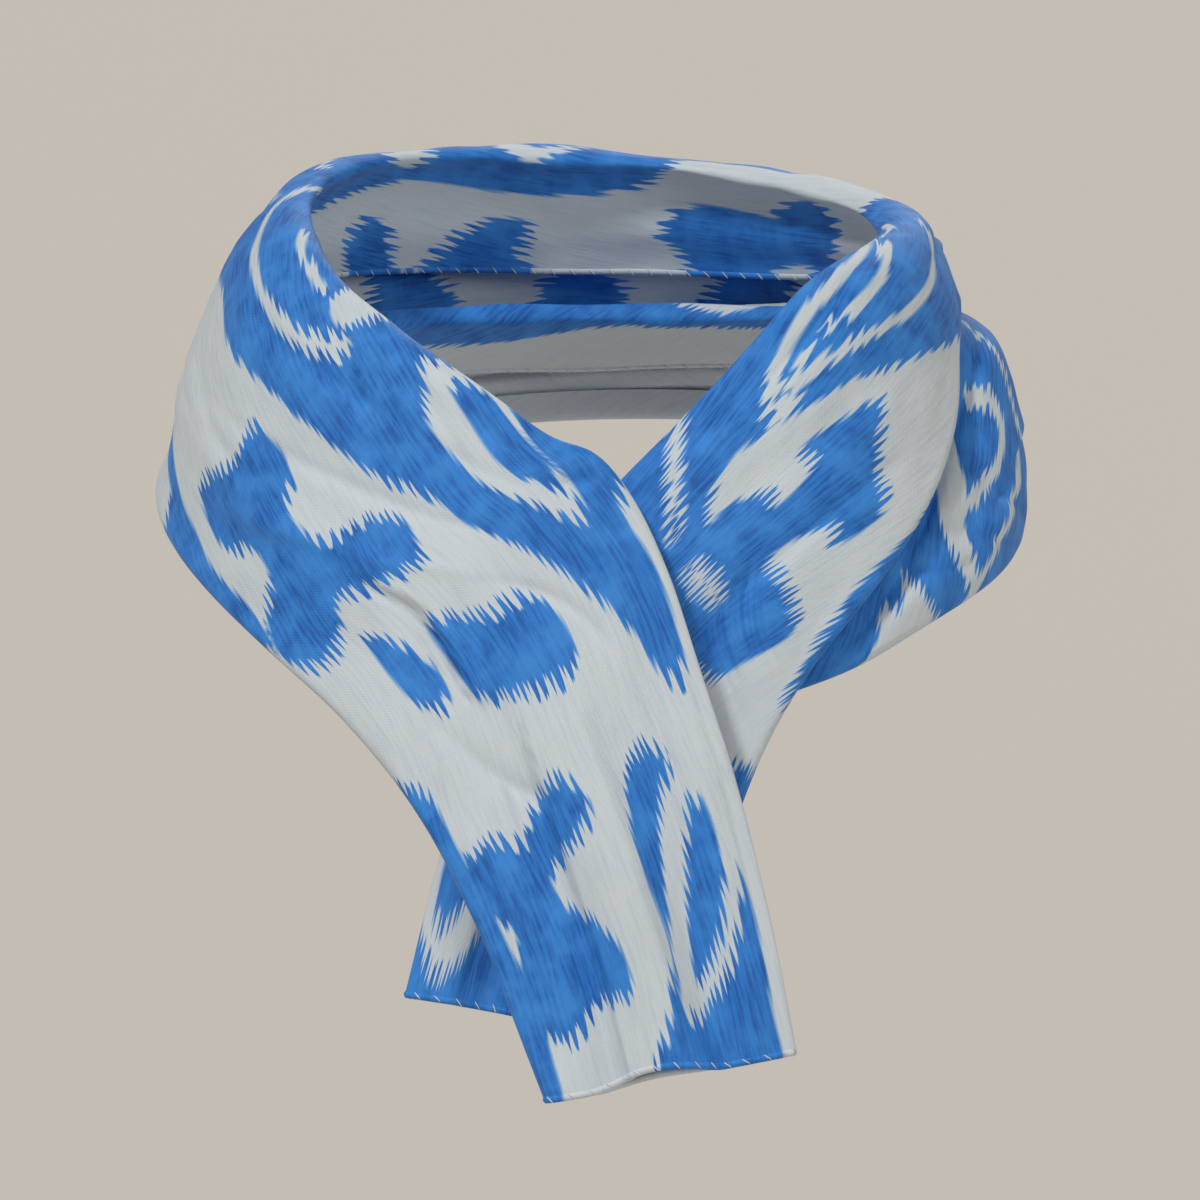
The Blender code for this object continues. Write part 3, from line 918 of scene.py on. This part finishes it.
SECOND_TURN = Turn(
    sections=[
        Section(23.5, 108.0, -112.0, -6.0, 107.0, -122.0, 1.6, 1.0, 46.0, 3.5),
        Section(21.5, 104.0, -86.0, -9.5, 105.5, -106.0, 1.6, 1.2, 46.0, 3.5),
        Section(19.0, 99.5, -63.0, -13.0, 103.5, -91.0, 1.7, 1.6, 46.0, 3.5),
        Section(16.5, 95.5, -45.0, -17.0, 101.5, -78.0, 1.8, 2.0, 44.0, 3.5),
        Section(14.0, 91.5, -30.0, -21.0, 100.0, -66.5, 1.9, 2.4, 40.0, 3.8),
        Section(10.3, 85.5, -9.5, -26.0, 99.0, -55.5, 2.0, 2.8, 34.0, 4.2),
        Section(5.5, 79.5, 6.0, -31.5, 98.0, -46.5, 2.3, 3.2, 30.0, 4.6),
        Section(-0.8, 76.0, 16.6, -37.5, 97.5, -38.5, 2.6, 3.6, 28.0, 5.0),
        Section(-8.0, 75.0, 19.2, -44.0, 97.5, -32.0, 3.0, 3.8, 27.0, 5.4),
        Section(-18.5, 73.0, 28.0, -51.5, 97.5, -25.5, 3.6, 3.8, 27.0, 5.8),
        Section(-31.0, 70.5, 36.3, -60.0, 98.3, -18.5, 4.4, 3.6, 28.0, 6.2),
        Section(-48.0, 67.5, 45.0, -71.0, 99.2, -10.5, 5.6, 3.2, 29.0, 6.6),
        Section(-69.0, 66.0, 54.5, -85.0, 100.0, -1.0, 7.0, 2.6, 30.0, 7.0),
        Section(-93.0, 66.0, 64.0, -102.0, 98.0, 8.0, 8.0, 2.0, 31.0, 7.0),
        Section(-119.0, 66.0, 70.5, -123.0, 92.5, 16.0, 8.0, 2.0, 32.0, 7.0),
        Section(-149.0, 65.5, 71.5, -150.0, 89.0, 23.0, 7.5, 2.0, 32.0, 7.0),
        Section(-180.0, 65.5, 69.5, -180.0, 87.5, 27.0, 7.0, 2.0, 31.0, 7.0),
        Section(-211.0, 65.5, 66.5, -211.0, 86.5, 30.0, 7.0, 2.0, 28.0, 7.0),
        Section(-242.0, 65.0, 63.0, -240.0, 84.0, 36.5, 6.5, 1.5, 22.0, 7.0),
        Section(-267.0, 64.0, 60.0, -263.0, 81.5, 43.2, 5.5, 1.0, 16.0, 6.5),
        Section(-290.0, 63.5, 57.5, -278.5, 81.5, 35.5, 4.6, 1.2, 20.0, 6.5),
        Section(-309.0, 63.0, 53.0, -289.0, 84.5, 21.5, 3.8, 2.0, 24.0, 6.0),
        Section(-324.0, 64.5, 43.0, -300.0, 87.0, 7.5, 3.2, 2.6, 26.0, 5.5),
        Section(-337.0, 65.5, 30.5, -310.5, 88.5, -5.5, 2.8, 3.0, 28.0, 5.0),
        Section(-348.0, 67.0, 19.0, -320.0, 89.0, -17.5, 2.4, 3.0, 30.0, 4.6),
        Section(-357.5, 68.5, 8.0, -327.5, 88.5, -28.5, 2.2, 2.8, 32.0, 4.2),
        Section(-366.0, 71.0, -4.0, -333.0, 88.0, -39.5, 2.0, 2.4, 36.0, 3.8),
        Section(-372.0, 75.0, -18.0, -337.5, 88.5, -51.0, 1.9, 2.0, 42.0, 3.5),
        Section(-377.0, 80.5, -35.0, -341.5, 90.0, -64.0, 1.8, 1.6, 44.0, 3.5),
        Section(-380.5, 86.5, -55.0, -345.5, 92.0, -78.5, 1.7, 1.2, 46.0, 3.5),
        Section(-383.5, 92.0, -77.0, -349.5, 94.5, -93.5, 1.6, 1.0, 46.0, 3.5),
        Section(-386.0, 97.0, -101.0, -353.5, 97.0, -109.0, 1.6, 1.0, 46.0, 3.5),
    ],
    fullest=0.5,
    folds=[
        SoftFold(4.5, 12.5, 0.34, 0.42, -1.5, 0.10),
        SoftFold(6.0, 15.5, 0.70, 0.64, 1.3, 0.11),
        SoftFold(13.0, 20.0, 0.40, 0.50, -1.3, 0.10),
        SoftFold(20.5, 25.5, 0.60, 0.30, -1.4, 0.10),
        SoftFold(-5.0, 5.5, 0.24, 0.36, -3.0, 0.08),
        SoftFold(-5.0, 6.5, 0.76, 0.62, -2.8, 0.09),
        SoftFold(-6.0, 4.5, 0.50, 0.52, 2.0, 0.10),
        SoftFold(25.5, 36.0, 0.36, 0.28, -2.4, 0.09),
        SoftFold(26.0, 36.0, 0.66, 0.74, -2.2, 0.10),
    ],
    creases=[
        Crease(96, 54, 138, 51.5, 1.5, -1.5, 1.0),
        Crease(98, 59.5, 128, 56, 1, -0.6, 1.3),
        Crease(606, 6, 652, 70, 0, -0.5, 3.2),
        Crease(110, 24, 216, 44, 4, -0.55, 2.2),
        Crease(112, 36, 205, 62, 5, 0.5, 2.6),
        Crease(118, 14, 240, 20, 3, -0.5, 2.0),
        Crease(115, 2, 123, 14, 0, -0.55, 2.2),
        Crease(103, 2, 108, 12, 0, -0.45, 1.8),
        Crease(84, 18, 118, 40, -3, -0.6, 1.8),
        Crease(58, 34, 104, 66, 4, -0.7, 2.4),
        Crease(606, 36, 626, 54, -3, -0.7, 1.0),
        Crease(609, 34.5, 629, 53, -2.6, -0.9, 1.0),
        Crease(612.5, 34, 631, 52, -3.2, -0.6, 1.1),
        Crease(615, 32.5, 634.5, 51, -2.8, -0.9, 0.9),
        Crease(618, 32, 637, 50, -3, -0.7, 1.0),
        Crease(560, 46, 640, 38, -3, -0.5, 2.2),
        Crease(200, 50, 330, 58, -4, -0.7, 2.4),
        Crease(250, 12, 380, 26, 3, -0.6, 2.2),
        Crease(350, 44, 470, 24, -4, -0.7, 2.2),
        Crease(300, 34, 400, 44, 3, 0.5, 2.6),
        Crease(420, 10, 520, 16, 2, -0.5, 2.0),
        Crease(-8, 3.0, 124, 2.8, 0, -0.35, 0.6),
        Crease(-10, 14, 116, 17, -2, -0.8, 2.2),
        Crease(-10, 26, 96, 30, 2, 0.7, 3.0),
        Crease(24, 52, 128, 44, 2, -0.6, 2.0),
        Crease(640, 16, 735, 12, 2, -0.8, 2.2),
        Crease(650, 30, 735, 34, -2, 0.6, 3.0),
        Crease(566, 6, 618, 12, -2, -0.5, 1.4),
        Crease(520, 4, 590, 9, 2, -0.4, 1.6),
        Crease(196, 8, 150, 34, 3, -0.35, 2.0),
        Crease(180, 4, 128, 24, 2, -0.35, 1.6),
        Crease(230, 40, 168, 50, -3, -0.5, 2.0),
    ],
    laps=[
        Lap(94, 53.5, 142, 51, 1.5, 1.0, 0.6),
        Lap(-20, 38, 90, 44, 2, 0.9, 0.8),
        Lap(640, 42, 740, 38, -2, 0.8, 0.8),
        Lap(238, 58, 380, 54, -3, 0.9, 0.8),
        Lap(330, 22, 500, 18, 3, 0.7, 0.8),
    ],
)


# How steeply the threads fall towards the crest, and how closely they lie, each with the runs
# of the band over which it changes and by how much.
FALL_AT_START = -0.1
FALL_CHANGES = ((108, 130, 0.42), (260, 470, -0.50), (530, 570, 0.18))
NARROWS_FROM, NARROWS_TO, NARROWS_BY = 300, 480, -0.29
OPENS_FROM, OPENS_OVER, OPENS_BY = 535, 110, 0.008
FANS_FROM = 20.0
EVERY_HALF_MM = np.linspace(-20, 760, 1561)


def eased(x, low, high):
    share = np.clip((x - low) / (high - low), 0, 1)
    return share * share * (3 - 2 * share)


def threads_of_second_turn(s, t):
    """They fall towards the crest at the throat's left, and fan out at its right."""
    fine = EVERY_HALF_MM
    falls = np.full_like(fine, FALL_AT_START)
    for start, end, change in FALL_CHANGES:
        falls = falls + change * eased(fine, start, end)
    drift = np.concatenate([[0], np.cumsum(falls[1:] * np.diff(fine))])
    narrows = NARROWS_BY * eased(fine, NARROWS_FROM, NARROWS_TO)
    fan = np.exp(narrows + OPENS_BY * np.clip(fine - OPENS_FROM, 0, OPENS_OVER))
    opening = np.interp(s, fine, fan)
    across = np.interp(s, fine, drift) + opening * (t - FANS_FROM)
    fall = np.interp(s, fine, np.gradient(drift, fine))
    opens = np.interp(s, fine, np.gradient(fan, fine))
    slope = -(fall + opens * (t - FANS_FROM)) / opening
    size = np.sqrt(1 + slope**2)
    return Run(s * 1.0, across, 1 / size, slope / size)


LEFT_PRINT = [
    Patch(BLUE, [
        (75, 8), (90, 14), (107, 23), (123, 29.5), (140, 28), (155, 32), (190, 31),
        (215, 31), (232, 26.5), (255, 25), (255, -13), (225, -16), (190, -11), (160, -15),
        (125, -12), (110, 3), (95, 2.5), (78, 3),
    ]),
    Patch(BLUE, [
        (129, 43), (134, 38), (141, 36), (147, 41), (151, 51), (162, 50.5), (167, 47),
        (170, 43), (180, 39.5), (190, 39.5), (188, 50), (195, 59), (187, 65), (173, 67),
        (166, 63), (156, 66), (150, 74), (138, 79), (129, 76), (131, 66), (137, 60),
        (133, 53),
    ]),
    Patch(BLUE, [
        (90, 27), (100, 27.5), (108, 32), (111, 43), (119, 54), (108, 55), (97, 52), (91, 42),
        (88, 33),
    ]),
    Patch(BLUE, [(101, 60), (108, 58), (118, 61), (127, 65), (119, 68), (108, 67), (102, 63)]),
    Patch(BLUE, [
        (142, 80), (155, 75), (175, 72.5), (190, 69), (210, 64), (235, 57), (255, 55),
        (255, 100), (142, 100),
    ]),
    Patch(WHITE, [(205, 80), (208, 70), (215, 66.5), (226, 64), (236, 63), (243, 65), (246, 80)]),
    Patch(WHITE, [
        (113, 12), (121, 9), (128, 7), (140, 2.5), (150, -2), (158, -3), (166, 4),
        (160, 9), (153, 15), (140, 18), (128, 19), (118, 17),
    ]),
    Patch(BLUE, [(120, 12), (131, 6), (142, 3), (154, 1), (157, 5), (146, 9.5), (132, 13.5)]),
    Line(WHITE, [
        (185, 13, 6), (193, 17, 4), (203, 18, 3.4), (216, 17, 2.2), (228, 15, 2.2),
        (240, 12, 2), (252, 8, 1.6),
    ]),
    Patch(WHITE, [(185, 3), (188, -3), (193, -6), (200, -3), (200, 3), (196, 8), (188, 9)]),
    Line(WHITE, [(204, 6, 2.8), (213, 4.5, 2.2), (222, 4.5, 2.2), (230, 2, 2)]),
]
RIGHT_PRINT = [
    Patch(BLUE, [
        (474, 27), (495, 31), (520, 35), (545, 31), (560, 24), (580, 18.5), (595, 15.5),
        (605, 18), (618, 27), (634, 32), (660, 28), (690, 30), (730, 24), (730, -14),
        (690, -10), (650, -15), (600, -11), (560, -14), (520, -10), (490, -14), (470, -8),
    ]),
    Patch(BLUE, [
        (560, 31), (572, 27), (583, 25), (584, 30), (597, 30), (596, 26), (605, 22),
        (613, 23), (622, 26), (636, 30), (638, 44), (630, 48.5), (616, 52.5), (610, 45), (607, 37),
        (592, 42), (595, 46), (580, 49), (572, 41), (562, 34),
    ]),
    Patch(BLUE, [
        (505, 33.6), (512, 35.2), (520, 38.6), (530, 45), (540, 51), (550, 54.6), (560, 56.6),
        (572, 57.4), (582, 57), (591, 56), (602, 56.2), (616, 58.4), (632, 62), (640, 80),
        (505, 80),
    ]),
    Patch(WHITE, [
        (619.5, 25), (618.5, 29), (619.5, 33), (621.5, 36), (623.5, 36), (624, 32), (623.5, 28),
        (622, 25),
    ]),
    Line(WHITE, [
        (581, 15, 3.4), (576, 11, 3.4), (568, 7.5, 3), (557, 5.5, 3), (545, 5, 3),
        (534, 4, 2.6), (525, 2, 2.2), (517, -1, 2),
    ]),
    Line(WHITE, [(583, 18, 2), (576, 16, 3), (568, 12.5, 2.6), (563, 11, 1.6)]),
    Line(WHITE, [
        (517, -1, 2), (522, 5, 2.2), (530, 9.5, 2.6), (540, 12.5, 2.4), (549, 12.5, 2),
        (556, 10.5, 1.6),
    ]),
    Line(WHITE, [
        (496, 8, 1.2), (503, 13, 2), (520, 19, 2.2), (538, 21.5, 2.4),
        (552, 18.5, 2.4), (564, 15.5, 2.6), (572, 14.5, 1.6),
    ]),
    Line(WHITE, [(499, 0, 1.4), (506, 2.5, 2.2), (513, 2, 1.6)]),
    Line(WHITE, [(590, -3, 3), (598, 2, 3), (606, 8, 3), (613, 14, 2.4), (618, 19, 1.6)]),
]
SECOND_PRINT = [
    *moved(LEFT_PRINT, mirror_at=254.5),
    *LEFT_PRINT,
    Line(WHITE, [(249, 9, 1.6), (256, 5, 2), (264, 0, 2), (272, -6, 1.8)]),
    *RIGHT_PRINT,
    *moved(BLOB, 458, 46),
    *moved(HOOK, 466, 12, mirror_at=0),
    Patch(BLUE, [
        (-10, 6), (10, 4), (32, 4), (52, 9), (66, 17), (62, 25), (46, 28), (28, 26),
        (12, 29), (-10, 34),
    ]),
    *moved(EYE, 30, 18),
    Patch(BLUE, [(-10, 60), (16, 58), (40, 62), (66, 66), (88, 72), (88, 90), (-10, 90)]),
    *moved(BLOB, 44, 46, mirror_at=0),
    *moved(BLOB, 672, 48),
    *moved(EYE, 690, 12),
    *moved(BLOB, 150, -30, flip_at=0),
    *moved(BLOB, 240, -34, mirror_at=0),
    *moved(BLOB, 330, -32, flip_at=0),
    *moved(BLOB, 420, -30, mirror_at=0),
    *moved(BLOB, 520, -34, flip_at=0),
    *moved(BLOB, 620, -32, mirror_at=0),
    *moved(BLOB, 52, -24, mirror_at=0),
    *moved(EYE, 96, -26, flip_at=0),
    *moved(EYE, 662, -22, mirror_at=0),
    *moved(BLOB, 700, -30),
]

second_band = lay_band(SECOND_TURN, [0, 4, 12, 20, 26, 31])
second_hem = add_hem(
    "second_turn_hem", second_band, round_whole_edge(second_band), SECOND_PRINT,
    threads_of_second_turn,
)
for node, first, last, lies_on, hems in (
    ("nape_upper", 12, 20, ["nape_lower", "side_lower_left", "side_lower_right"], [second_hem]),
    ("front_beneath", 20, 26, ["side_lower_right"], []),
    ("end_beneath", 26, 31, [], []),
    ("front_on_top", 4, 12, ["front_beneath", "side_lower_left"], []),
    ("end_on_top", 0, 4, ["end_beneath"], []),
):
    piece = add_cloth(
        node + "_cloth", second_band, first, last, SECOND_PRINT, threads_of_second_turn
    )
    finish_cloth(piece, node)

# The studio: a plain pale floor that runs on into the background, a soft light above and to the
# left of the front, weaker ones to the right and from behind, and a long lens a little above level.

FLOOR_DOWN = 0.30
FLOOR_SIZE = 120.0
FLOOR_COLOUR = (0.55, 0.52, 0.482)
FLOOR_ROUGH = 0.9
BACKDROP = (0.56, 0.52, 0.46)
BACKDROP_STRENGTH = 0.6
LIT_SPOT = (0.0, 0.0, -0.02)

pale, _, matt = new_material("pale_floor")
matt["Base Color"].default_value = (*FLOOR_COLOUR, 1.0)
matt["Roughness"].default_value = FLOOR_ROUGH
half = FLOOR_SIZE / 2
corners = ((-half, -half), (half, -half), (half, half), (-half, half))
floor_mesh = bpy.data.meshes.new("floor")
floor_mesh.from_pydata([(x, y, -FLOOR_DOWN) for x, y in corners], [], [(0, 1, 2, 3)])
floor_mesh.materials.append(pale)
floor = placed("floor", floor_mesh)


def aim(obj, place, target):
    """Puts a light or the camera in its place and turns it to what it looks at."""
    direction = (target[0] - place[0], target[1] - place[1], target[2] - place[2])
    level = math.hypot(direction[0], direction[1])
    obj.location = place
    obj.rotation_euler = (
        math.atan2(level, -direction[2]),
        0.0,
        math.atan2(-direction[0], direction[1]),
    )


def add_light(name, place, wide_deg, power):
    """A distant soft light: how wide it looks from the scarf, and how strong it is."""
    light = bpy.data.lights.new(name, "SUN")
    light.energy = power
    light.angle = math.radians(wide_deg)
    aim(placed(name, light), place, LIT_SPOT)


add_light("key_light", (-1.5, -1.8, 2.5), 8.0, 1.88)
add_light("fill_light", (2.2, -2.4, 0.9), 30.0, 0.75)
add_light("back_light", (0.6, 2.6, 1.6), 20.0, 0.7)

world = bpy.data.worlds.new("studio")
world.use_nodes = True
backdrop = world.node_tree.nodes["Background"].inputs
backdrop["Color"].default_value = (*BACKDROP, 1.0)
backdrop["Strength"].default_value = BACKDROP_STRENGTH
bpy.context.scene.world = world
bpy.context.scene.view_settings.view_transform = "Standard"

CAMERA_AWAY = 5.0
CAMERA_ABOVE_DEG = 6.5
LOOKED_AT = (0.0, 0.0, -0.025)
SENSOR_WIDTH = 36.0
FOCAL_LENGTH = 667.0
SEES_AS_FAR_AS = 200.0
lens = bpy.data.cameras.new("camera")
lens.sensor_width = SENSOR_WIDTH
lens.lens = FOCAL_LENGTH
lens.clip_end = SEES_AS_FAR_AS
camera = placed("camera", lens)
raised = math.radians(CAMERA_ABOVE_DEG)
aim(
    camera,
    (0.0, -CAMERA_AWAY * math.cos(raised), LOOKED_AT[2] + CAMERA_AWAY * math.sin(raised)),
    LOOKED_AT,
)
bpy.context.scene.camera = camera
